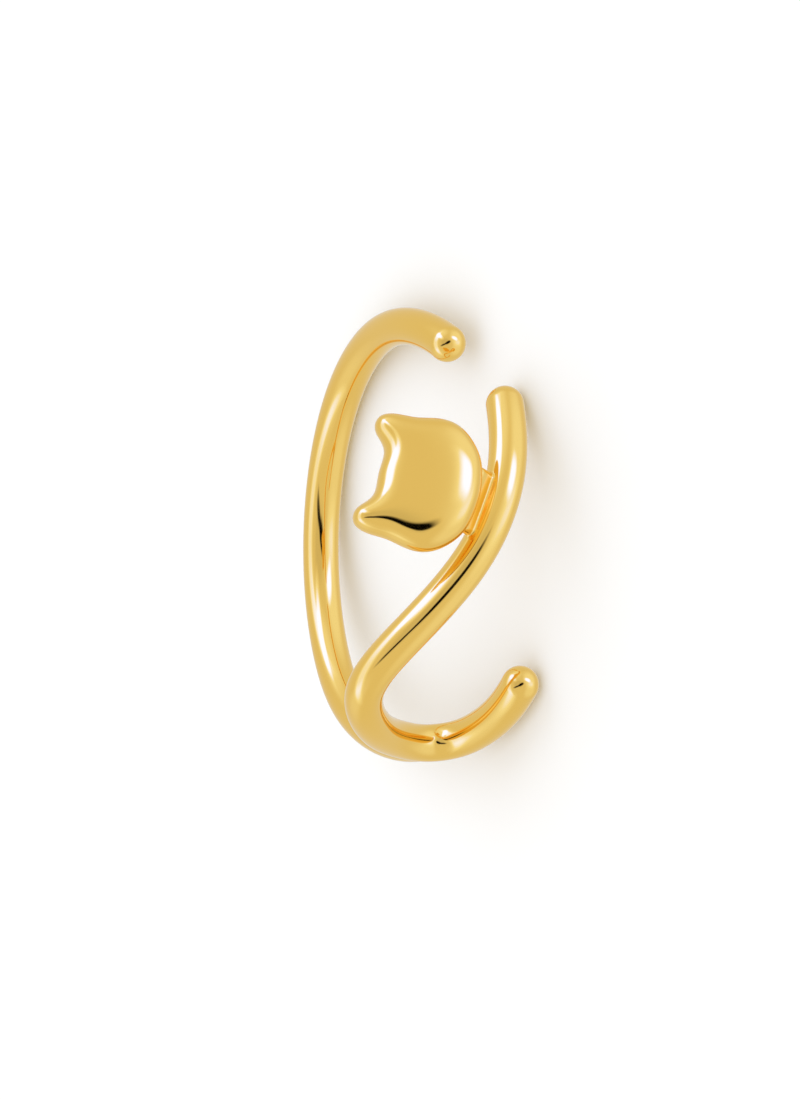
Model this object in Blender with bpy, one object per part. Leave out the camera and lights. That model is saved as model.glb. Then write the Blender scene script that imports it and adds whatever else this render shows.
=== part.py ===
"""Cat ring: an open finger ring of round wire with a small puffed cat's head.

The shank goes round the back of the finger.  At the bottom it is soldered into
the bend of a second wire, whose long arm crosses the front of the finger and
whose short end is a hook.  The head is soldered to the side of the arm.  All of
it is one casting, so it is one solid.

It is modelled with the finger along Z and the front of the ring at +X, and then
turned a little so that it lies on a table by itself, on the hook's end, the
arm's end and the band.  The origin is the bottom centre of its box.
"""
import math

import bmesh
import bpy
import numpy as np
from mathutils import Matrix, Vector

MM = 0.001

# Driving sizes
FINGER_BORE = 17.3 * MM       # inner diameter of the ring
WIRE_DIAMETER = 1.7 * MM      # shank, arm and hook are one gauge of round wire
SIDE_SWING = 4.0 * MM         # how far the wires swing along the finger
HEAD_WIDTH = 6.12 * MM        # cheek to cheek
HEAD_HEIGHT = 4.5 * MM        # crown to chin, without the ears
HEAD_FRONT = 1.15 * MM        # bulge of the face over the rim
HEAD_BACK = 0.9 * MM          # bulge of the plain back behind the rim
HEAD_CLEARANCE = 0.45 * MM    # from the bore to the middle of the head's back
HEAD_ANGLE = 12.5             # degrees round the ring from the front
HEAD_TURN = 5.0               # degrees that the face looks on round the ring from there
HEAD_LEAN = 18.5              # degrees that the ears lean round the ring
HEAD_TILT = 16.0              # degrees that the chin stands out from the finger
SOLDER_GAP = 0.77 * MM        # along the finger, from the arm's side to the chin
SOLDER_LENGTH = 3.0 * MM      # of the web, along the arm
SOLDER_THICKNESS = 0.55 * MM
SOLDER_SINK = 0.4 * MM        # how far below the arm's middle it starts, towards the finger
SOLDER_BITE = 0.5 * MM        # how far the web reaches in past the head's rim
SOLDER_DEPTH = 0.45 * MM      # how far behind the rim plane it ends
SOLDER_ANGLE = 6.5            # degrees round the ring, the middle of the web
EDGE_ROUNDING = 0.55 * MM     # how far in from the outline the face rounds over

# Fineness of the meshes
WIRE_SIDES = 16
WIRE_STEP = 0.45 * MM
END_RINGS = 4
HEAD_SEGMENTS = 64
HEAD_RINGS = 20
BURIED_SHARE = 0.8            # thickness of the shank's end inside the bend
SOLDER_ROUNDING = 0.45        # share of the solder's thickness that its edges are rounded by
MERGE_DISTANCE = 0.001 * MM
ON_OUTLINE = 0.999            # share of the way out from which a point counts as on it
FINE_SAMPLES = 2000

# Routes of the wires.  angle: degrees round the ring, 0 at the front and 90 at
# the top.  side: place along the finger, a share of SIDE_SWING.  out: distance
# from the finger's axis, a share of the ring's line radius.
SHANK_ROUTE = (
    # angle, side, out
    (65.2, -0.215, 1.000),
    (90.0, -0.060, 1.004),
    (115.0, -0.015, 1.000),
    (150.0, -0.010, 1.000),
    (185.0, 0.000, 1.000),
    (215.0, 0.020, 1.000),
    (240.0, 0.005, 1.000),
    (281.5, -0.315, 0.994),
)
FRONT_ROUTE = (
    # angle, side, out: from the arm's end down to the bend and on to the hook's end
    (37.7, -0.555, 1.000),
    (15.0, -0.390, 1.000),
    (-5.0, -0.018, 1.000),
    (-25.0, 0.590, 1.000),
    (-45.0, 0.966, 1.000),
    (-62.0, 0.662, 1.000),
    (-75.3, 0.113, 0.999),
    (-78.4, -0.298, 1.006),
    (-76.8, -0.458, 1.003),
    (-67.4, -0.690, 0.992),
    (-43.5, -0.845, 1.002),
)

# Half of the head's outline from the crown to the chin; the other half mirrors it.
HEAD_OUTLINE = (
    # across, up: shares of half the head's width and of half its height
    (0.000, 1.000),
    (0.200, 0.985),
    (0.345, 1.005),
    (0.470, 1.105),
    (0.590, 1.245),
    (0.695, 1.290),
    (0.805, 1.240),
    (0.880, 1.070),
    (0.908, 0.820),
    (0.920, 0.560),
    (0.960, 0.300),
    (0.990, 0.030),
    (0.975, -0.200),
    (0.905, -0.420),
    (0.785, -0.620),
    (0.540, -0.860),
    (0.270, -0.965),
    (0.000, -1.000),
)

# Worked out from the driving sizes
WIRE_RADIUS = WIRE_DIAMETER / 2
WIRE_LINE_RADIUS = FINGER_BORE / 2 + WIRE_RADIUS
HEAD_LINE_RADIUS = FINGER_BORE / 2 + HEAD_CLEARANCE + HEAD_BACK


def clear_scene():
    for item in list(bpy.data.objects):
        bpy.data.objects.remove(item, do_unlink=True)


def natural_spline(knots, values, places):
    """Natural cubic spline through values at knots, read at the given places."""
    count = len(knots)
    gaps = np.diff(knots)
    slopes = np.diff(values, axis=0) / gaps[:, None]
    system = np.eye(count)
    right = np.zeros_like(values)
    for i in range(1, count - 1):
        system[i, i - 1:i + 2] = (gaps[i - 1], 2 * (gaps[i - 1] + gaps[i]), gaps[i])
        right[i] = 6 * (slopes[i] - slopes[i - 1])
    bends = np.linalg.solve(system, right)
    left = np.clip(np.searchsorted(knots, places, side="right") - 1, 0, count - 2)
    gap = gaps[left][:, None]
    after = (places - knots[left])[:, None]
    before = gap - after
    cubic = (bends[left] * before ** 3 + bends[left + 1] * after ** 3) / (6 * gap)
    start = (values[left] / gap - bends[left] * gap / 6) * before
    end = (values[left + 1] / gap - bends[left + 1] * gap / 6) * after
    return cubic + start + end


def curve_through(points):
    """Fine smooth curve through points."""
    points = np.array(points)
    chords = np.linalg.norm(np.diff(points, axis=0), axis=1)
    knots = np.concatenate(([0.0], np.cumsum(chords)))
    places = np.linspace(0.0, knots[-1], FINE_SAMPLES)
    return natural_spline(knots, points, places)


def evenly_spaced(line, count):
    """The points of a fine line at equal lengths along it."""
    steps = np.linalg.norm(np.diff(line, axis=0), axis=1)
    lengths = np.concatenate(([0.0], np.cumsum(steps)))
    wanted = np.linspace(0.0, lengths[-1], count)
    return np.stack([np.interp(wanted, lengths, line[:, i]) for i in range(line.shape[1])], 1)


def wire_line(route):
    """A wire's centre line in space, with a point every WIRE_STEP or so."""
    unrolled = [
        (math.radians(angle) * WIRE_LINE_RADIUS, side * SIDE_SWING, out * WIRE_LINE_RADIUS)
        for angle, side, out in route
    ]
    fine = curve_through(unrolled)
    turns = fine[:, 0] / WIRE_LINE_RADIUS
    line = np.stack([fine[:, 2] * np.cos(turns), fine[:, 2] * np.sin(turns), fine[:, 1]], 1)
    length = np.linalg.norm(np.diff(line, axis=0), axis=1).sum()
    return evenly_spaced(line, max(8, round(length / WIRE_STEP)))


def point_at_angle(line, angle):
    """The point of the arm's centre line at an angle round the ring."""
    angles = np.degrees(np.arctan2(line[:, 1], line[:, 0]))
    arm = slice(0, int(np.argmax(line[:, 2])) + 1)
    order = np.argsort(angles[arm])
    return np.array([np.interp(angle, angles[arm][order], line[arm, i][order]) for i in range(3)])


def round_end(centre, outward, radius):
    """Points and thickness shares of a half-round end beyond a centre."""
    rows = []
    for ring in range(1, END_RINGS + 1):
        turn = math.radians(90.0 * ring / (END_RINGS + 0.35))
        rows.append((centre + outward * radius * math.sin(turn), math.cos(turn)))
    return rows


def wire_object(name, line, radius, buried_end=False):
    """A round wire along a line, with half-round ends, as a closed mesh object."""
    start_outward = (line[0] - line[1]) / np.linalg.norm(line[0] - line[1])
    end_outward = (line[-1] - line[-2]) / np.linalg.norm(line[-1] - line[-2])
    rows = list(reversed(round_end(line[0], start_outward, radius)))
    rows += [(point, 1.0) for point in line]
    if buried_end:
        rows[-1] = (line[-1], BURIED_SHARE)
    else:
        rows += round_end(line[-1], end_outward, radius)
    data = bpy.data.curves.new(name, "CURVE")
    data.dimensions = "3D"
    data.bevel_depth = radius
    data.bevel_resolution = WIRE_SIDES // 2 - 2
    data.use_fill_caps = True
    spline = data.splines.new("POLY")
    spline.points.add(len(rows) - 1)
    for target, (place, share) in zip(spline.points, rows):
        target.co = (*place, 1.0)
        target.radius = share
    curve = bpy.data.objects.new(name + "_curve", data)
    bpy.context.scene.collection.objects.link(curve)
    wire = bpy.data.objects.new(name, evaluated_mesh(curve))
    wire.matrix_world = curve.matrix_world
    bpy.context.scene.collection.objects.link(wire)
    bpy.data.objects.remove(curve, do_unlink=True)
    weld(wire.data)
    return wire


def evaluated_mesh(item):
    graph = bpy.context.evaluated_depsgraph_get()
    return bpy.data.meshes.new_from_object(item.evaluated_get(graph))


def weld(mesh):
    work = bmesh.new()
    work.from_mesh(mesh)
    bmesh.ops.remove_doubles(work, verts=work.verts, dist=MERGE_DISTANCE)
    bmesh.ops.recalc_face_normals(work, faces=work.faces)
    work.to_mesh(mesh)
    work.free()


def head_outline():
    """The closed outline of the head, evenly spaced, starting at the crown."""
    half = [(across * HEAD_WIDTH / 2, up * HEAD_HEIGHT / 2) for across, up in HEAD_OUTLINE]
    mirrored = [(-across, up) for across, up in reversed(half[1:-1])]
    loop = half + mirrored
    lap = 4
    wrapped = loop[-lap:] + loop + loop[:lap + 1]
    points = np.array(wrapped)
    chords = np.linalg.norm(np.diff(points, axis=0), axis=1)
    knots = np.concatenate(([0.0], np.cumsum(chords)))
    places = np.linspace(knots[lap], knots[lap + len(loop)], FINE_SAMPLES)
    fine = natural_spline(knots, points, places)
    return evenly_spaced(fine, HEAD_SEGMENTS + 1)[:-1]


def soft_depth(points, outline):
    """How deep points lie inside an outline, without creases: zero on it, then ever deeper.

    Each piece of the outline pulls with one over the cube of its distance.  Beside
    a long straight outline the pulls add up to two over the square of the depth.
    """
    ends = np.roll(outline, -1, axis=0)
    lengths = np.linalg.norm(ends - outline, axis=1, keepdims=True)
    along = (ends - outline) / lengths
    across = np.stack([-along[:, 1], along[:, 0]], 1)
    to_start = outline[None] - points[:, None]
    to_end = ends[None] - points[:, None]
    before = (to_start * along).sum(2)
    after = (to_end * along).sum(2)
    aside = (to_start * across).sum(2)
    near, far = np.linalg.norm(to_start, axis=2), np.linalg.norm(to_end, axis=2)
    beyond = before * after > 0
    safe = np.where(beyond, after * near + before * far, 1.0)
    pull_beyond = (after ** 2 - before ** 2) / (near * far * safe)
    pull_beside = (after / far - before / near) / np.where(beyond, 1.0, aside) ** 2
    return np.sqrt(2.0 / np.where(beyond, pull_beyond, pull_beside).sum(1))


def head_place(arm):
    """Where the head's rim plane lies: across, up and out of the face, and its centre."""
    turn = math.radians(HEAD_ANGLE)
    facing = math.radians(HEAD_ANGLE + HEAD_TURN)
    lean = math.radians(HEAD_LEAN)
    tilt = math.radians(HEAD_TILT)
    radial = Vector((math.cos(turn), math.sin(turn), 0.0))
    ahead = Vector((math.cos(facing), math.sin(facing), 0.0))
    along_finger = Vector((0.0, 0.0, 1.0))
    round_ring = along_finger.cross(ahead)
    out = ahead * math.cos(tilt) + along_finger * math.sin(tilt)
    towards_ears = out.cross(round_ring)
    up = towards_ears * math.cos(lean) + round_ring * math.sin(lean)
    across = round_ring * math.cos(lean) - towards_ears * math.sin(lean)
    chin_side = point_at_angle(arm, HEAD_ANGLE)[2] + WIRE_RADIUS + SOLDER_GAP
    centre = radial * HEAD_LINE_RADIUS
    centre.z = chin_side + HEAD_HEIGHT / 2 * math.cos(lean) * math.cos(tilt)
    place = Matrix((across, up, out)).transposed().to_4x4()
    place.translation = centre
    return place


def head_object(arm):
    """The puffed head: a ball whose rings are spread out to the head's outline."""
    outline = head_outline()
    work = bmesh.new()
    bmesh.ops.create_uvsphere(work, u_segments=HEAD_SEGMENTS, v_segments=HEAD_RINGS, radius=1.0)
    for vertex in work.verts:
        x, y, z = vertex.co
        share = min(1.0, math.hypot(x, y))
        segment = round(math.atan2(y, x) / math.tau * HEAD_SEGMENTS) % HEAD_SEGMENTS
        place = outline[segment] * share
        swell = 0.0
        if share < ON_OUTLINE:
            depth = soft_depth(place[None], outline)[0]
            swell = math.sqrt(1 - math.exp(-depth / EDGE_ROUNDING))
        out = HEAD_FRONT * swell if z > 0 else -HEAD_BACK * swell
        vertex.co = (*place, out)
    bmesh.ops.recalc_face_normals(work, faces=work.faces)
    mesh = bpy.data.meshes.new("cat_head")
    work.to_mesh(mesh)
    work.free()
    mesh.transform(head_place(arm))
    head = bpy.data.objects.new("cat_head", mesh)
    bpy.context.scene.collection.objects.link(head)
    return head


def solder_place(arm):
    """Where the solder lies: along the arm, across to the head and out, its middle, its width."""
    head = head_place(arm)
    on_arm = Vector(point_at_angle(arm, SOLDER_ANGLE))
    ahead = Vector(point_at_angle(arm, SOLDER_ANGLE + 1.0))
    rim = [head @ Vector((across, up, 0.0)) for across, up in head_outline()]
    chin = min(rim, key=lambda point: (point - on_arm).length)
    inward = (head.translation - chin).normalized()
    in_head = chin + inward * SOLDER_BITE - head.col[2].to_3d() * SOLDER_DEPTH
    in_arm = on_arm - Vector((on_arm.x, on_arm.y, 0.0)).normalized() * SOLDER_SINK
    across = (in_head - in_arm).normalized()
    out = (ahead - on_arm).cross(across).normalized()
    along = across.cross(out)
    place = Matrix((along, across, out)).transposed().to_4x4()
    place.translation = (in_arm + in_head) / 2
    return place, (in_head - in_arm).length


def solder_object(arm):
    """The web of solder from inside the arm to the back of the head, a plate with round edges."""
    place, width = solder_place(arm)
    work = bmesh.new()
    bmesh.ops.create_cube(work, size=1.0)
    bmesh.ops.scale(work, vec=(SOLDER_LENGTH, width, SOLDER_THICKNESS), verts=work.verts)
    bmesh.ops.bevel(
        work, geom=work.edges, offset=SOLDER_THICKNESS * SOLDER_ROUNDING,
        offset_type="OFFSET", segments=3, profile=0.5, affect="EDGES",
    )
    mesh = bpy.data.meshes.new("solder_bridge")
    work.to_mesh(mesh)
    work.free()
    mesh.transform(place)
    solder = bpy.data.objects.new("solder_bridge", mesh)
    bpy.context.scene.collection.objects.link(solder)
    return solder


def fused(name, base, others):
    """One object with the union of all the pieces, which are then removed."""
    for other in others:
        union = base.modifiers.new(other.name, "BOOLEAN")
        union.operation = "UNION"
        union.solver = "EXACT"
        union.object = other
    ring = bpy.data.objects.new(name, evaluated_mesh(base))
    for piece in (base, *others):
        bpy.data.objects.remove(piece, do_unlink=True)
    return ring


def resting_turn(shank, front):
    """The turn that lays the ring on the arm's end, the hook's end and the band."""
    floor = Vector((0.0, 0.0, -1.0))
    arm_end, hook_end = Vector(front[0]), Vector(front[-1])
    down = floor
    for _ in range(10):
        heel = Vector(max(shank, key=lambda point: Vector(point).dot(down)))
        down = (hook_end - heel).cross(arm_end - heel).normalized()
        if down.z > 0:
            down.negate()
    return down.rotation_difference(floor).to_matrix().to_4x4()


def set_on_floor(mesh):
    """Moves the mesh so that the bottom centre of its box is the origin."""
    points = np.array([vertex.co for vertex in mesh.vertices])
    low, high = points.min(0), points.max(0)
    middle = (low + high) / 2
    mesh.transform(Matrix.Translation((-middle[0], -middle[1], -low[2])))


def gold():
    material = bpy.data.materials.new("polished_gold")
    material.use_nodes = True
    shader = material.node_tree.nodes["Principled BSDF"]
    shader.inputs["Base Color"].default_value = (0.80, 0.55, 0.20, 1.0)
    shader.inputs["Metallic"].default_value = 1.0
    shader.inputs["Roughness"].default_value = 0.08
    return material


def build():
    clear_scene()
    shank = wire_line(SHANK_ROUTE)
    front = wire_line(FRONT_ROUTE)
    pieces = [
        wire_object("front_wire", front, WIRE_RADIUS),
        wire_object("shank", shank, WIRE_RADIUS, buried_end=True),
        solder_object(front),
        head_object(front),
    ]
    ring = fused("cat_ring", pieces[0], pieces[1:])
    ring.data.name = "cat_ring"
    weld(ring.data)
    ring.data.transform(resting_turn(shank, front))
    set_on_floor(ring.data)
    ring.data.shade_smooth()
    ring.data.materials.clear()
    ring.data.materials.append(gold())
    collection = bpy.data.collections.new("cat_ring")
    bpy.context.scene.collection.children.link(collection)
    collection.objects.link(ring)


build()
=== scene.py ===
"""The looks of the cat ring: fine polished gold surface, studio light and the photo's view."""

import math

import bpy
import numpy as np
from mathutils import Matrix, Vector


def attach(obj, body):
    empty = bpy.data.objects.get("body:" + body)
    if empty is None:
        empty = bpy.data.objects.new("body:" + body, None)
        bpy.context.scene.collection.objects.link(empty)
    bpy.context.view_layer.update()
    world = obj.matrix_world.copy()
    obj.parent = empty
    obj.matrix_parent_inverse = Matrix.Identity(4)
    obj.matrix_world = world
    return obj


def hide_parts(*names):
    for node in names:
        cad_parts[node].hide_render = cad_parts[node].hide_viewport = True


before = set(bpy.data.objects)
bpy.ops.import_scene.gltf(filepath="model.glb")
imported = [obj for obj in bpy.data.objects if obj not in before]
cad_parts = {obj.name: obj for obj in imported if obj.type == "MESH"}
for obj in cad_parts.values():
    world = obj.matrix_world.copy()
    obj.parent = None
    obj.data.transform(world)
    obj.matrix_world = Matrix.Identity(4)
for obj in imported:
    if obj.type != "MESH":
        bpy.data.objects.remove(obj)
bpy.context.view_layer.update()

# Sizes in millimetres and angles in degrees, as in the part's source
FINGER_BORE = 17.3
WIRE_DIAMETER = 1.7
SIDE_SWING = 4.0
HEAD_WIDTH = 6.12
HEAD_HEIGHT = 4.5
HEAD_FRONT = 1.15
HEAD_BACK = 0.9
HEAD_CLEARANCE = 0.45
HEAD_ANGLE = 12.5
HEAD_TURN = 5.0
HEAD_LEAN = 18.5
HEAD_TILT = 16.0
SOLDER_GAP = 0.77
SOLDER_LENGTH = 3.0
SOLDER_THICKNESS = 0.55
SOLDER_SINK = 0.4
SOLDER_BITE = 0.5
SOLDER_DEPTH = 0.45
SOLDER_ANGLE = 6.5
EDGE_ROUNDING = 0.55

# How softly the soldered pieces run into each other
FORK_FILLET = 0.35
SOLDER_FILLET = 0.2

# The fine mesh
FINE_VOXEL = 0.085
EVENING_FACTOR = 0.5
EVENING_ROUNDS = 4
SURFACE_STEPS = 5
LONGEST_STEP = 0.12
LEAST_SQUARE_SLOPE = 0.05      # a flatter field is taken to be this steep, so that no step runs away
LEAST_STEEPNESS = 0.05         # the same for the head's own field
UNFOLD_ROUNDS = 8
FOLDED = 0.5                   # a corner whose face agrees less than this with the surface is folded
LINE_SAMPLES = 400
NEAREST_POINT_STEPS = 3        # steps towards the nearest point of a wire's centre line
LEAST_RATE = 0.2
OUTLINE_SAMPLES = 1400
OUTLINE_LAP = 4                # knots repeated at both ends, so that the outline closes smoothly
RIM_OVERLAP = OUTLINE_SAMPLES // 20
CHUNK = 4000                   # points worked on at a time
NEAR_OUTLINE = (0.025, 0.06)   # the plain distance to the outline gives way to the soft depth here
HEAD_REACH = 3.7               # the head lies within this of its centre
HEAD_MARGIN = 0.6              # farther out than this only the distance to that ball counts
TINY_LENGTH = 1e-9
TINY_AREA = 1e-12

# How the ring comes to rest
REST_ROUNDS = 10
FACE_RINGS = 30                # rings of points on the face, from near its middle to near its outline
FACE_FROM = 0.1
FACE_TO = 0.99
FACE_SPACING = 8               # one outline sample in so many stands for the face

METRE = 0.001

# The photo's view, in the ring's own axes
VIEW_TURN = 68.45              # degrees from the finger's axis round to the front
VIEW_ROLL = 0.77               # degrees
CAMERA_PLACE = (0.273, -0.660, 195.8)   # right, up and back of the ring's middle
LENS_HEIGHT = 24.0
PHOTO_HEIGHT = 1100
FOCAL_PIXELS = 4300
NEAREST_SEEN = 0.01            # metres from the camera

# The wires' routes.  angle: degrees round the ring.  side: share of SIDE_SWING along
# the finger.  out: share of the radius on which the wires' centre lines lie.
SHANK_ROUTE = (
    # angle, side, out
    (65.2, -0.215, 1.000),
    (90.0, -0.060, 1.004),
    (115.0, -0.015, 1.000),
    (150.0, -0.010, 1.000),
    (185.0, 0.000, 1.000),
    (215.0, 0.020, 1.000),
    (240.0, 0.005, 1.000),
    (281.5, -0.315, 0.994),
)
FRONT_ROUTE = (
    # angle, side, out
    (37.7, -0.555, 1.000),
    (15.0, -0.390, 1.000),
    (-5.0, -0.018, 1.000),
    (-25.0, 0.590, 1.000),
    (-45.0, 0.966, 1.000),
    (-62.0, 0.662, 1.000),
    (-75.3, 0.113, 0.999),
    (-78.4, -0.298, 1.006),
    (-76.8, -0.458, 1.003),
    (-67.4, -0.690, 0.992),
    (-43.5, -0.845, 1.002),
)

# One half of the head's outline from between the ears to the chin, as shares of half
# the head's width and height
HEAD_OUTLINE = (
    # across, up
    (0.000, 1.000),
    (0.200, 0.985),
    (0.345, 1.005),
    (0.470, 1.105),
    (0.590, 1.245),
    (0.695, 1.290),
    (0.805, 1.240),
    (0.880, 1.070),
    (0.908, 0.820),
    (0.920, 0.560),
    (0.960, 0.300),
    (0.990, 0.030),
    (0.975, -0.200),
    (0.905, -0.420),
    (0.785, -0.620),
    (0.540, -0.860),
    (0.270, -0.965),
    (0.000, -1.000),
)

# The studio round the ring.  right, up: where a light stands, in degrees from the
# line to the photo's camera.  turn: how its long side lies, degrees from level.
# half_length, half_width: degrees.  softness: share of its size that fades out.
# level: what it adds to the plain tent, which is 0; black is -1 and white is 1.
STUDIO = (
    # name, right, up, turn, half_length, half_width, softness, level
    ("left_key", -46.0, 44.0, 135.0, 25.0, 9.0, 0.60, 0.70),
    ("left_wall", -75.0, -4.0, 90.0, 58.0, 16.0, 0.50, 0.58),
    ("upper_left", -42.0, 60.0, 30.0, 32.0, 24.0, 0.60, 0.38),
    ("right_key", 45.0, 31.0, 165.0, 17.0, 9.0, 0.60, 0.65),
    ("right_wall", 62.0, 34.0, 90.0, 38.0, 34.0, 0.50, 0.42),
    ("right_low", 65.0, -32.0, 90.0, 38.0, 30.0, 0.50, 0.28),
    ("low_left", -60.0, -68.0, 45.0, 30.0, 22.0, 0.60, 0.22),
    ("dim_middle", -12.0, 6.0, 0.0, 24.0, 20.0, 0.40, -0.15),
    ("lens", 6.0, 3.0, 30.0, 15.0, 7.0, 0.50, -1.10),
    ("stand", -22.0, -11.0, 24.0, 18.0, 4.5, 0.50, -0.85),
)
TENT_STEPS = (
    # level, red, green, blue
    (-1.0, 0.00, 0.00, 0.00),
    (0.0, 0.76, 0.76, 0.74),
    (0.5, 0.94, 1.06, 1.40),
    (1.0, 1.05, 1.56, 6.50),
)
BRIGHTEST = 6.5
LIGHT_SQUARENESS = 3.0         # 2 makes a light an ellipse, and more squares it off
FLOOR_LIGHT = 1.18             # what the floor gets from all round
WHITE = (1.0, 1.0, 1.0, 1.0)
BACKDROP = (0.97, 0.97, 0.97, 1.0)

# The floor
FLOOR_HALF = 1.0               # metres from its middle to its sides
FLOOR_COLOUR = (0.9, 0.9, 0.9, 1.0)
FLOOR_ROUGHNESS = 0.9

# The gold.  The noises' scales are for one metre.
GOLD = (0.98, 0.64, 0.155, 1.0)
HAZE_SCALE = 900.0
HAZE_DETAIL = 4.0
HAZE_RANGE = (0.35, 0.7)       # the noise's values between which the roughness changes
ROUGHNESS = (0.045, 0.085)
RIPPLE_SCALE = 700.0
RIPPLE_DETAIL = 1.0
RIPPLE_STRENGTH = 0.05
RIPPLE_DEPTH = 0.00002         # metres

WIRE_RADIUS = WIRE_DIAMETER / 2
WIRE_LINE_RADIUS = FINGER_BORE / 2 + WIRE_RADIUS
HEAD_LINE_RADIUS = FINGER_BORE / 2 + HEAD_CLEARANCE + HEAD_BACK


def natural_spline(knots, values, places):
    """Natural cubic spline through values at knots, read at the given places."""
    count = len(knots)
    gaps = np.diff(knots)
    slopes = np.diff(values, axis=0) / gaps[:, None]
    system = np.eye(count)
    right = np.zeros_like(values)
    for i in range(1, count - 1):
        system[i, i - 1:i + 2] = (gaps[i - 1], 2 * (gaps[i - 1] + gaps[i]), gaps[i])
        right[i] = 6 * (slopes[i] - slopes[i - 1])
    bends = np.linalg.solve(system, right)
    left = np.clip(np.searchsorted(knots, places, side="right") - 1, 0, count - 2)
    gap = gaps[left][:, None]
    after = (places - knots[left])[:, None]
    before = gap - after
    cubic = (bends[left] * before ** 3 + bends[left + 1] * after ** 3) / (6 * gap)
    start = (values[left] / gap - bends[left] * gap / 6) * before
    end = (values[left + 1] / gap - bends[left + 1] * gap / 6) * after
    return cubic + start + end


def lengths_along(points):
    """How far along a line of points each of them lies."""
    steps = np.linalg.norm(np.diff(points, axis=0), axis=1)
    return np.concatenate(([0.0], np.cumsum(steps)))


def evenly_spaced(line, count):
    """The points of a fine line at equal lengths along it."""
    lengths = lengths_along(line)
    wanted = np.linspace(0.0, lengths[-1], count)
    return np.stack([np.interp(wanted, lengths, line[:, i]) for i in range(line.shape[1])], 1)


def square_distances(points, others):
    """The squared distance from every point to every other point."""
    return (points ** 2).sum(1)[:, None] - 2 * points @ others.T + (others ** 2).sum(1)[None]


class Wire:
    """A round wire on a smooth centre line, with half-round ends."""

    def __init__(self, line, radius):
        lengths = lengths_along(line)
        self.places = np.linspace(0.0, lengths[-1], LINE_SAMPLES)
        self.line = natural_spline(lengths, line, self.places)
        self.along = np.gradient(self.line, self.places, axis=0, edge_order=2)
        self.bend = np.gradient(self.along, self.places, axis=0, edge_order=2)
        self.radius = radius

    def distance(self, points):
        """Signed distance from each point to the wire's surface, and its direction."""
        distances = np.empty(len(points))
        directions = np.empty_like(points)
        for first in range(0, len(points), CHUNK):
            part = slice(first, first + CHUNK)
            distances[part], directions[part] = self.chunk_distance(points[part])
        return distances, directions

    def chunk_distance(self, points):
        """The same for a few points, from the nearest sample of the line and its bend there."""
        nearest = square_distances(points, self.line).argmin(1)
        on_line, along, bend = self.line[nearest], self.along[nearest], self.bend[nearest]
        step = np.zeros((len(points), 1))
        for _ in range(NEAREST_POINT_STEPS):
            offset = points - (on_line + along * step + bend * step ** 2 / 2)
            heading = along + bend * step
            slope = (offset * heading).sum(1, keepdims=True)
            rate = (heading ** 2).sum(1, keepdims=True) - (offset * bend).sum(1, keepdims=True)
            step += slope / np.maximum(rate, LEAST_RATE)
            low = self.places[0] - self.places[nearest][:, None]
            high = self.places[-1] - self.places[nearest][:, None]
            step = np.clip(step, low, high)
        offset = points - (on_line + along * step + bend * step ** 2 / 2)
        length = np.linalg.norm(offset, axis=1)
        return length - self.radius, offset / np.maximum(length, TINY_LENGTH)[:, None]


def wire_line(route):
    """A wire's centre line: smooth through its route, rolled round the finger."""
    unrolled = np.array([
        (math.radians(angle) * WIRE_LINE_RADIUS, side * SIDE_SWING, out * WIRE_LINE_RADIUS)
        for angle, side, out in route
    ])
    lengths = lengths_along(unrolled)
    fine = natural_spline(lengths, unrolled, np.linspace(0.0, lengths[-1], 4 * LINE_SAMPLES))
    turns = fine[:, 0] / WIRE_LINE_RADIUS
    return np.stack([fine[:, 2] * np.cos(turns), fine[:, 2] * np.sin(turns), fine[:, 1]], 1)


def point_at_angle(line, angle):
    """The point of the arm's centre line at an angle round the ring."""
    angles = np.degrees(np.arctan2(line[:, 1], line[:, 0]))
    arm = slice(0, int(np.argmax(line[:, 2])) + 1)
    order = np.argsort(angles[arm])
    return np.array([np.interp(angle, angles[arm][order], line[arm, i][order]) for i in range(3)])


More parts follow.
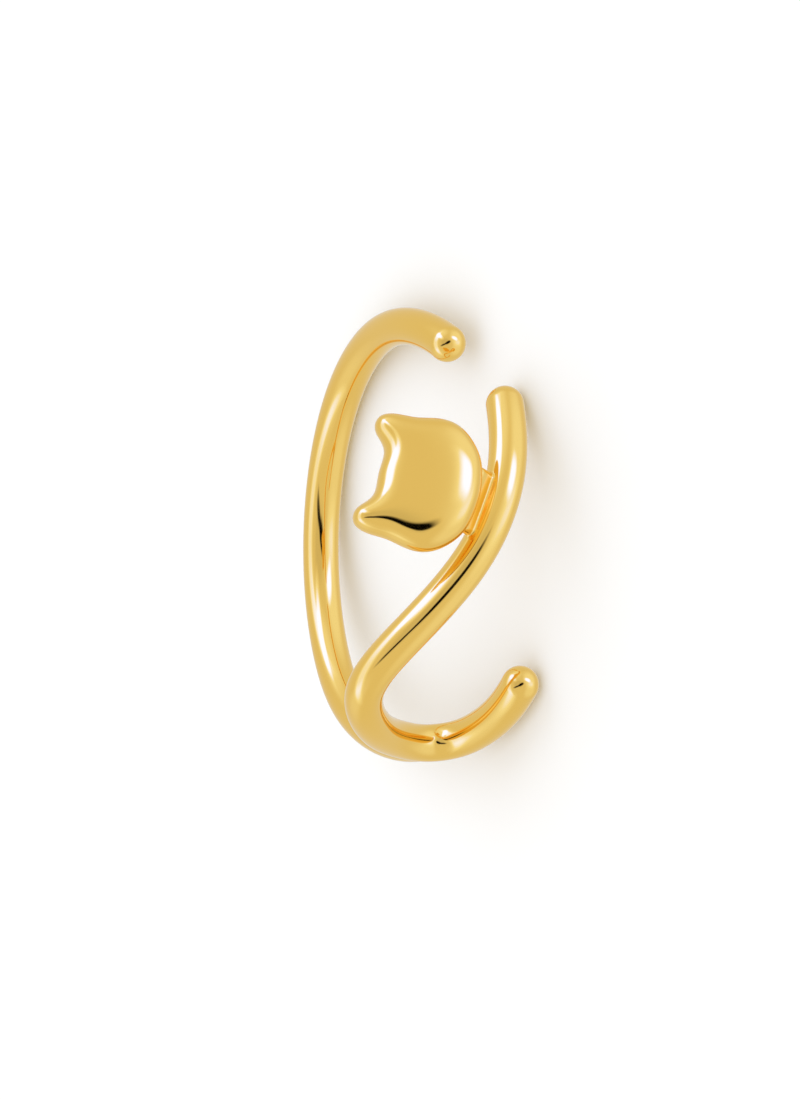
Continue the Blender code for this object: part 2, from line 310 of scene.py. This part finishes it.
class Head:
    """The puffed cat's head: how deep a point lies inside its outline sets its height there."""

    def __init__(self, arm):
        half = [(across * HEAD_WIDTH / 2, up * HEAD_HEIGHT / 2) for across, up in HEAD_OUTLINE]
        loop = half + [(-across, up) for across, up in reversed(half[1:-1])]
        knots = np.array(loop[-OUTLINE_LAP:] + loop + loop[:OUTLINE_LAP + 1])
        lengths = lengths_along(knots)
        start, end = lengths[OUTLINE_LAP], lengths[OUTLINE_LAP + len(loop)]
        fine = natural_spline(lengths, knots, np.linspace(start, end, 3 * OUTLINE_SAMPLES))
        self.outline = evenly_spaced(fine, OUTLINE_SAMPLES + 1)[:-1]
        self.rim = Wire(np.vstack((self.outline, self.outline[:RIM_OVERLAP])), 0.0)
        self.spacing = lengths_along(self.outline)[-1] / (OUTLINE_SAMPLES - 1)
        angles = np.arctan2(self.outline[:, 0], self.outline[:, 1])
        order = np.argsort(angles)
        self.angles = angles[order]
        self.reach = np.hypot(*self.outline.T)[order]
        self.axes, self.centre = self.place(arm)

    def place(self, arm):
        """The head's axes across, up and out of its face, and its centre."""
        turn = math.radians(HEAD_ANGLE)
        facing = math.radians(HEAD_ANGLE + HEAD_TURN)
        lean = math.radians(HEAD_LEAN)
        tilt = math.radians(HEAD_TILT)
        radial = np.array((math.cos(turn), math.sin(turn), 0.0))
        ahead = np.array((math.cos(facing), math.sin(facing), 0.0))
        along_finger = np.array((0.0, 0.0, 1.0))
        round_ring = np.cross(along_finger, ahead)
        out = ahead * math.cos(tilt) + along_finger * math.sin(tilt)
        towards_ears = np.cross(out, round_ring)
        up = towards_ears * math.cos(lean) + round_ring * math.sin(lean)
        across = round_ring * math.cos(lean) - towards_ears * math.sin(lean)
        chin_side = point_at_angle(arm, HEAD_ANGLE)[2] + WIRE_RADIUS + SOLDER_GAP
        centre = radial * HEAD_LINE_RADIUS
        centre[2] = chin_side + HEAD_HEIGHT / 2 * math.cos(lean) * math.cos(tilt)
        return np.stack((across, up, out)), centre

    def depth(self, flat):
        """How deep flat points lie inside the outline, negative outside, and its slope."""
        depths, slopes = np.empty(len(flat)), np.empty_like(flat)
        for first in range(0, len(flat), CHUNK):
            part = slice(first, first + CHUNK)
            squares = square_distances(flat[part], self.outline)
            nearness = 1 / np.maximum(squares, self.spacing ** 2 / 4)
            cubes = nearness * np.sqrt(nearness)
            fifths = cubes * nearness
            pull = cubes.sum(1) * self.spacing
            pull_slope = -3 * self.spacing * (flat[part] * fifths.sum(1)[:, None] - fifths @ self.outline)
            depths[part] = np.sqrt(2 / pull)
            slopes[part] = -(depths[part] / pull / 2)[:, None] * pull_slope
        plain, direction = self.rim.distance(flat)
        low, high = NEAR_OUTLINE
        share = np.clip((plain - low) / (high - low), 0.0, 1.0)
        share = share ** 2 * (3 - 2 * share)
        depths = plain + (depths - plain) * share
        slopes = direction + (slopes - direction) * share[:, None]
        angle = np.arctan2(flat[:, 0], flat[:, 1])
        reach = np.interp(angle, self.angles, self.reach, period=math.tau)
        sign = np.where(np.hypot(*flat.T) < reach, 1.0, -1.0)
        return depths * sign, slopes * sign[:, None]

    def distance(self, points):
        """About the signed distance to the head's surface, and its direction."""
        offset = points - self.centre
        away = np.linalg.norm(offset, axis=1)
        distances = away - HEAD_REACH
        directions = offset / np.maximum(away, TINY_LENGTH)[:, None]
        near = distances < HEAD_MARGIN
        local = offset[near] @ self.axes.T
        out = local[:, 2]
        depth, slope = self.depth(local[:, :2])
        height = np.where(out > 0, HEAD_FRONT, HEAD_BACK)
        fall = np.exp(-depth / EDGE_ROUNDING)
        level = (out / height) ** 2 + fall
        rise = np.column_stack((
            -(fall / level)[:, None] * slope,
            EDGE_ROUNDING * 2 * out / (height ** 2 * level),
        ))
        steepness = np.maximum(np.linalg.norm(rise, axis=1), LEAST_STEEPNESS)
        distances[near] = EDGE_ROUNDING * np.log(level) / steepness
        directions[near] = (rise / steepness[:, None]) @ self.axes
        return distances, directions

    def face_points(self, share):
        """Points of the face on a ring part of the way out to the outline."""
        flat = self.outline[::FACE_SPACING] * share
        depth = np.maximum(self.depth(flat)[0], 0.0)
        height = HEAD_FRONT * np.sqrt(1 - np.exp(-depth / EDGE_ROUNDING))
        return self.centre + np.column_stack((flat, height)) @ self.axes


class Solder:
    """The web from inside the arm to the back of the head: a plate with round edges."""

    def __init__(self, arm, head):
        on_arm = point_at_angle(arm, SOLDER_ANGLE)
        ahead = point_at_angle(arm, SOLDER_ANGLE + 1.0)
        rim = head.centre + head.outline @ head.axes[:2]
        chin = rim[np.linalg.norm(rim - on_arm, axis=1).argmin()]
        inward = (head.centre - chin) / np.linalg.norm(head.centre - chin)
        in_head = chin + inward * SOLDER_BITE - head.axes[2] * SOLDER_DEPTH
        outward = on_arm * (1.0, 1.0, 0.0)
        in_arm = on_arm - outward / np.linalg.norm(outward) * SOLDER_SINK
        width = np.linalg.norm(in_head - in_arm)
        across = (in_head - in_arm) / width
        out = np.cross(ahead - on_arm, across)
        out /= np.linalg.norm(out)
        self.axes = np.stack((np.cross(across, out), across, out))
        self.centre = (in_arm + in_head) / 2
        self.rounding = SOLDER_THICKNESS / 2
        self.core = np.array((SOLDER_LENGTH, width, SOLDER_THICKNESS)) / 2 - self.rounding

    def distance(self, points):
        """Signed distance from each point to the web's surface, and its direction."""
        local = (points - self.centre) @ self.axes.T
        offset = local - np.clip(local, -self.core, self.core)
        length = np.linalg.norm(offset, axis=1)
        return length - self.rounding, (offset / np.maximum(length, TINY_LENGTH)[:, None]) @ self.axes


def smooth_union(one, other, fillet):
    """Joins two distance fields with a soft fillet."""
    (d1, n1), (d2, n2) = one, other
    mix = np.maximum(fillet - np.abs(d1 - d2), 0.0) / fillet
    share = mix ** 2 / 2
    first = (d1 < d2)[:, None]
    near, far = np.where(first, n1, n2), np.where(first, n2, n1)
    distance = np.minimum(d1, d2) - mix ** 3 * fillet / 6
    return distance, near * (1 - share)[:, None] + far * share[:, None]


class Ring:
    """The whole ring as one smooth surface."""

    def __init__(self):
        shank_line, front_line = wire_line(SHANK_ROUTE), wire_line(FRONT_ROUTE)
        lengths = lengths_along(shank_line)
        inside_bend = lengths > lengths[-1] - WIRE_RADIUS
        self.shank = Wire(shank_line[~inside_bend], WIRE_RADIUS)
        self.front = Wire(front_line, WIRE_RADIUS)
        self.head = Head(front_line)
        self.solder = Solder(front_line, self.head)

    def distance(self, points):
        wires = smooth_union(self.front.distance(points), self.shank.distance(points), FORK_FILLET)
        added = smooth_union(self.head.distance(points), self.solder.distance(points), SOLDER_FILLET)
        return smooth_union(wires, added, SOLDER_FILLET)

    def onto_surface(self, points):
        """Moves points onto the surface, and gives the surface's direction there."""
        for _ in range(SURFACE_STEPS):
            distance, slope = self.distance(points)
            square_slope = np.maximum((slope ** 2).sum(1), LEAST_SQUARE_SLOPE)
            step = np.clip(distance / square_slope, -LONGEST_STEP, LONGEST_STEP)
            points = points - slope * step[:, None]
        slope = self.distance(points)[1]
        return points, slope / np.linalg.norm(slope, axis=1, keepdims=True)

    def resting_turn(self):
        """The turn that lays the ring on the arm's end, the hook's end and the shank."""
        down = np.array((0.0, 0.0, -1.0))
        arm_end, hook_end = self.front.line[0], self.front.line[-1]
        for _ in range(REST_ROUNDS):
            heel = self.shank.line[np.argmax(self.shank.line @ down)]
            down = np.cross(hook_end - heel, arm_end - heel)
            down *= -np.sign(down[2]) / np.linalg.norm(down)
        return Vector(down).rotation_difference(Vector((0.0, 0.0, -1.0))).to_matrix()

    def resting_place(self):
        """From the ring's own axes in millimetres to the frame in metres."""
        turn = np.array(self.resting_turn())
        wires = np.vstack((self.front.line, self.shank.line)) @ turn.T
        lows, highs = [wires.min(0) - WIRE_RADIUS], [wires.max(0) + WIRE_RADIUS]
        for share in np.linspace(FACE_FROM, FACE_TO, FACE_RINGS):
            ring = self.head.face_points(share) @ turn.T
            lows.append(ring.min(0))
            highs.append(ring.max(0))
        low, high = np.min(lows, 0), np.max(highs, 0)
        place = Matrix(turn.tolist()).to_4x4()
        place.translation = (-(low[0] + high[0]) / 2, -(low[1] + high[1]) / 2, -low[2])
        return Matrix.Scale(METRE, 4) @ place


def coordinates(mesh):
    """A mesh's points, one row each."""
    flat = np.empty(len(mesh.vertices) * 3)
    mesh.vertices.foreach_get("co", flat)
    return flat.reshape(-1, 3)


def unfolded(mesh, ring, points, directions):
    """Evens out the few faces that folded over in the creases."""
    quads = np.empty(len(mesh.loops), dtype=np.int32)
    mesh.loops.foreach_get("vertex_index", quads)
    quads = quads.reshape(-1, 4)
    edges = np.empty(len(mesh.edges) * 2, dtype=np.int32)
    mesh.edges.foreach_get("vertices", edges)
    edges = edges.reshape(-1, 2)
    ends = np.vstack((edges, edges[:, ::-1]))
    neighbours = np.bincount(ends[:, 0], minlength=len(points))[:, None]
    for _ in range(UNFOLD_ROUNDS):
        folded = np.zeros(len(points), dtype=bool)
        for corner in range(4):
            here, ahead, behind = quads[:, corner], quads[:, corner - 3], quads[:, corner - 1]
            facing = np.cross(points[ahead] - points[here], points[behind] - points[here])
            facing /= np.maximum(np.linalg.norm(facing, axis=1), TINY_AREA)[:, None]
            agreement = (facing * directions[here]).sum(1)
            folded[quads[agreement < FOLDED]] = True
        if not folded.any():
            break
        total = np.zeros_like(points)
        np.add.at(total, ends[:, 0], points[ends[:, 1]])
        even = (total / neighbours)[folded]
        points[folded], directions[folded] = ring.onto_surface(even)
    return points, directions


def fine_surface(ring, place):
    """The CAD solid remeshed finely, with every point drawn onto the smooth surface."""
    rough = bpy.data.objects.new("rough_ring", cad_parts["cat_ring"].data.copy())
    rough.data.transform(place.inverted())
    bpy.context.scene.collection.objects.link(rough)
    remesh = rough.modifiers.new("fine", "REMESH")
    remesh.mode = "VOXEL"
    remesh.voxel_size = FINE_VOXEL
    relax = rough.modifiers.new("even", "SMOOTH")
    relax.factor = EVENING_FACTOR
    relax.iterations = EVENING_ROUNDS
    graph = bpy.context.evaluated_depsgraph_get()
    mesh = bpy.data.meshes.new_from_object(rough.evaluated_get(graph))
    bpy.data.objects.remove(rough, do_unlink=True)
    points, directions = unfolded(mesh, ring, *ring.onto_surface(coordinates(mesh)))
    mesh.vertices.foreach_set("co", points.astype(np.float32).ravel())
    mesh.update()
    mesh.shade_smooth()
    own = np.empty(points.size)
    mesh.vertex_normals.foreach_get("vector", own)
    own = own.reshape(-1, 3)
    wrong = (own * directions).sum(1) < FOLDED
    directions[wrong] = own[wrong]
    mesh.transform(place)
    turned = directions @ np.array(place.to_3x3()).T
    turned /= np.linalg.norm(turned, axis=1, keepdims=True)
    mesh.normals_split_custom_set_from_vertices(turned.tolist())
    return mesh


def polished_gold():
    """Mirror-polished yellow gold, with the faint haze and ripple of hand polishing."""
    material = bpy.data.materials.new("polished_gold")
    material.use_nodes = True
    nodes, links = material.node_tree.nodes, material.node_tree.links
    shader = nodes["Principled BSDF"]
    shader.inputs["Base Color"].default_value = GOLD
    shader.inputs["Metallic"].default_value = 1.0
    place = nodes.new("ShaderNodeTexCoord")

    haze = nodes.new("ShaderNodeTexNoise")
    haze.inputs["Scale"].default_value = HAZE_SCALE
    haze.inputs["Detail"].default_value = HAZE_DETAIL
    links.new(place.outputs["Object"], haze.inputs["Vector"])
    roughness = nodes.new("ShaderNodeMapRange")
    roughness.inputs["From Min"].default_value = HAZE_RANGE[0]
    roughness.inputs["From Max"].default_value = HAZE_RANGE[1]
    roughness.inputs["To Min"].default_value = ROUGHNESS[0]
    roughness.inputs["To Max"].default_value = ROUGHNESS[1]
    links.new(haze.outputs["Fac"], roughness.inputs["Value"])
    links.new(roughness.outputs["Result"], shader.inputs["Roughness"])

    ripple = nodes.new("ShaderNodeTexNoise")
    ripple.inputs["Scale"].default_value = RIPPLE_SCALE
    ripple.inputs["Detail"].default_value = RIPPLE_DETAIL
    links.new(place.outputs["Object"], ripple.inputs["Vector"])
    bump = nodes.new("ShaderNodeBump")
    bump.inputs["Strength"].default_value = RIPPLE_STRENGTH
    bump.inputs["Distance"].default_value = RIPPLE_DEPTH
    links.new(ripple.outputs["Fac"], bump.inputs["Height"])
    links.new(bump.outputs["Normal"], shader.inputs["Normal"])
    return material


def view_axes():
    """The photo's right, up and back directions in the ring's own axes."""
    turn, roll = math.radians(VIEW_TURN), math.radians(VIEW_ROLL)
    right = (math.cos(roll) * math.cos(turn), math.sin(roll), -math.cos(roll) * math.sin(turn))
    up = (-math.sin(roll) * math.cos(turn), math.cos(roll), math.sin(roll) * math.sin(turn))
    back = (math.sin(turn), 0.0, math.cos(turn))
    return Vector(right), Vector(up), Vector(back)


def add_camera(place):
    """Adds the photo's camera, and gives its right, up and back directions in the frame."""
    axes = view_axes()
    turned = [(place.to_3x3() @ axis).normalized() for axis in axes]
    where = place @ sum((axis * share for axis, share in zip(axes, CAMERA_PLACE)), Vector())
    data = bpy.data.cameras.new("photo_view")
    data.sensor_fit = "VERTICAL"
    data.sensor_height = LENS_HEIGHT
    data.lens = LENS_HEIGHT * FOCAL_PIXELS / PHOTO_HEIGHT
    data.clip_start = NEAREST_SEEN
    camera = bpy.data.objects.new("photo_view", data)
    camera.matrix_world = Matrix.Translation(where) @ Matrix(turned).transposed().to_4x4()
    bpy.context.scene.collection.objects.link(camera)
    bpy.context.scene.camera = camera
    return turned


def add_gold_ring(ring, place):
    """Adds the fine ring in polished gold, in place of the CAD solid."""
    mesh = fine_surface(ring, place)
    mesh.name = "gold_ring"
    mesh.materials.clear()
    mesh.materials.append(polished_gold())
    gold_ring = bpy.data.objects.new("gold_ring", mesh)
    bpy.context.scene.collection.objects.link(gold_ring)
    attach(gold_ring, "root")
    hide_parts("cat_ring")


def add_floor():
    """Adds the plain pale floor, which the gold doesn't reflect."""
    mesh = bpy.data.meshes.new("floor")
    corners = [(x * FLOOR_HALF, y * FLOOR_HALF, 0.0) for x, y in ((-1, -1), (1, -1), (1, 1), (-1, 1))]
    mesh.from_pydata(corners, [], [(0, 1, 2, 3)])
    floor = bpy.data.objects.new("floor", mesh)
    bpy.context.scene.collection.objects.link(floor)
    material = bpy.data.materials.new("pale_floor")
    material.use_nodes = True
    shader = material.node_tree.nodes["Principled BSDF"]
    shader.inputs["Base Color"].default_value = FLOOR_COLOUR
    shader.inputs["Roughness"].default_value = FLOOR_ROUGHNESS
    shader.inputs["Specular IOR Level"].default_value = 0.0
    mesh.materials.append(material)
    floor.visible_glossy = False


def studio_direction(view, right, up, turn):
    """Where a light stands, and the directions of its length and width."""
    away = math.radians(math.hypot(right, up))
    around = math.atan2(up, right)
    across = view[0] * math.cos(around) + view[1] * math.sin(around)
    beside = view[1] * math.cos(around) - view[0] * math.sin(around)
    towards = across * math.sin(away) + view[2] * math.cos(away)
    outward = across * math.cos(away) - view[2] * math.sin(away)
    lie = math.radians(turn) - around
    length = outward * math.cos(lie) + beside * math.sin(lie)
    return towards, length, towards.cross(length)


def calculated(tree, operation, *values):
    """A math node on numbers and on other nodes' outputs."""
    node = tree.nodes.new("ShaderNodeMath")
    node.operation = operation
    for socket, value in zip(node.inputs, values):
        if isinstance(value, bpy.types.NodeSocket):
            tree.links.new(value, socket)
        else:
            socket.default_value = value
    return node.outputs[0]


def share_along(tree, direction, axis):
    """How much of a direction lies along a fixed axis."""
    node = tree.nodes.new("ShaderNodeVectorMath")
    node.operation = "DOT_PRODUCT"
    tree.links.new(direction, node.inputs[0])
    node.inputs[1].default_value = axis
    return node.outputs["Value"]


def studio_light(tree, direction, axes, half_length, half_width, softness, level):
    """How much one light adds in a direction: full inside its rounded edge, fading out beyond."""
    towards = share_along(tree, direction, axes[0])
    shares = []
    for axis, half in zip(axes[1:], (half_length, half_width)):
        angle = calculated(tree, "ARCTAN2", share_along(tree, direction, axis), towards)
        part = calculated(tree, "ABSOLUTE", calculated(tree, "DIVIDE", angle, math.radians(half)))
        shares.append(calculated(tree, "POWER", part, LIGHT_SQUARENESS))
    reach = calculated(tree, "POWER", calculated(tree, "ADD", *shares), 1 / LIGHT_SQUARENESS)
    fade = tree.nodes.new("ShaderNodeMapRange")
    fade.interpolation_type = "SMOOTHSTEP"
    tree.links.new(reach, fade.inputs["Value"])
    fade.inputs["From Min"].default_value = 1 - softness
    fade.inputs["From Max"].default_value = 1 + softness
    fade.inputs["To Min"].default_value = level
    fade.inputs["To Max"].default_value = 0.0
    return fade.outputs["Result"]


def add_world(view):
    """A pale tent with soft lights and a dark lens for reflections, and plain light for the rest."""
    world = bpy.data.worlds.new("studio")
    world.use_nodes = True
    tree = world.node_tree
    tree.nodes.clear()
    direction = tree.nodes.new("ShaderNodeTexCoord").outputs["Generated"]
    level = 0.0
    for _, right, up, turn, half_length, half_width, softness, strength in STUDIO:
        axes = studio_direction(view, right, up, turn)
        light = studio_light(tree, direction, axes, half_length, half_width, softness, strength)
        level = calculated(tree, "ADD", level, light)
    tones = tree.nodes.new("ShaderNodeValToRGB")
    tree.links.new(calculated(tree, "MULTIPLY_ADD", level, 0.5, 0.5), tones.inputs["Fac"])
    steps = tones.color_ramp.elements
    for _ in range(len(TENT_STEPS) - len(steps)):
        steps.new(0.5)
    for step, (height, *colour) in zip(steps, TENT_STEPS):
        step.position = (height + 1) / 2
        step.color = (*(part / BRIGHTEST for part in colour), 1.0)

    reflected = tree.nodes.new("ShaderNodeBackground")
    tree.links.new(tones.outputs["Color"], reflected.inputs["Color"])
    reflected.inputs["Strength"].default_value = BRIGHTEST
    even = tree.nodes.new("ShaderNodeBackground")
    even.inputs["Color"].default_value = WHITE
    even.inputs["Strength"].default_value = FLOOR_LIGHT
    backdrop = tree.nodes.new("ShaderNodeBackground")
    backdrop.inputs["Color"].default_value = BACKDROP
    path = tree.nodes.new("ShaderNodeLightPath")
    lit = tree.nodes.new("ShaderNodeMixShader")
    tree.links.new(path.outputs["Is Glossy Ray"], lit.inputs["Fac"])
    tree.links.new(even.outputs["Background"], lit.inputs[1])
    tree.links.new(reflected.outputs["Background"], lit.inputs[2])
    seen = tree.nodes.new("ShaderNodeMixShader")
    tree.links.new(path.outputs["Is Camera Ray"], seen.inputs["Fac"])
    tree.links.new(lit.outputs["Shader"], seen.inputs[1])
    tree.links.new(backdrop.outputs["Background"], seen.inputs[2])
    output = tree.nodes.new("ShaderNodeOutputWorld")
    tree.links.new(seen.outputs["Shader"], output.inputs["Surface"])
    bpy.context.scene.world = world


ring = Ring()
place = ring.resting_place()
view = add_camera(place)
add_gold_ring(ring, place)
add_floor()
add_world(view)
bpy.context.scene.view_settings.view_transform = "Standard"
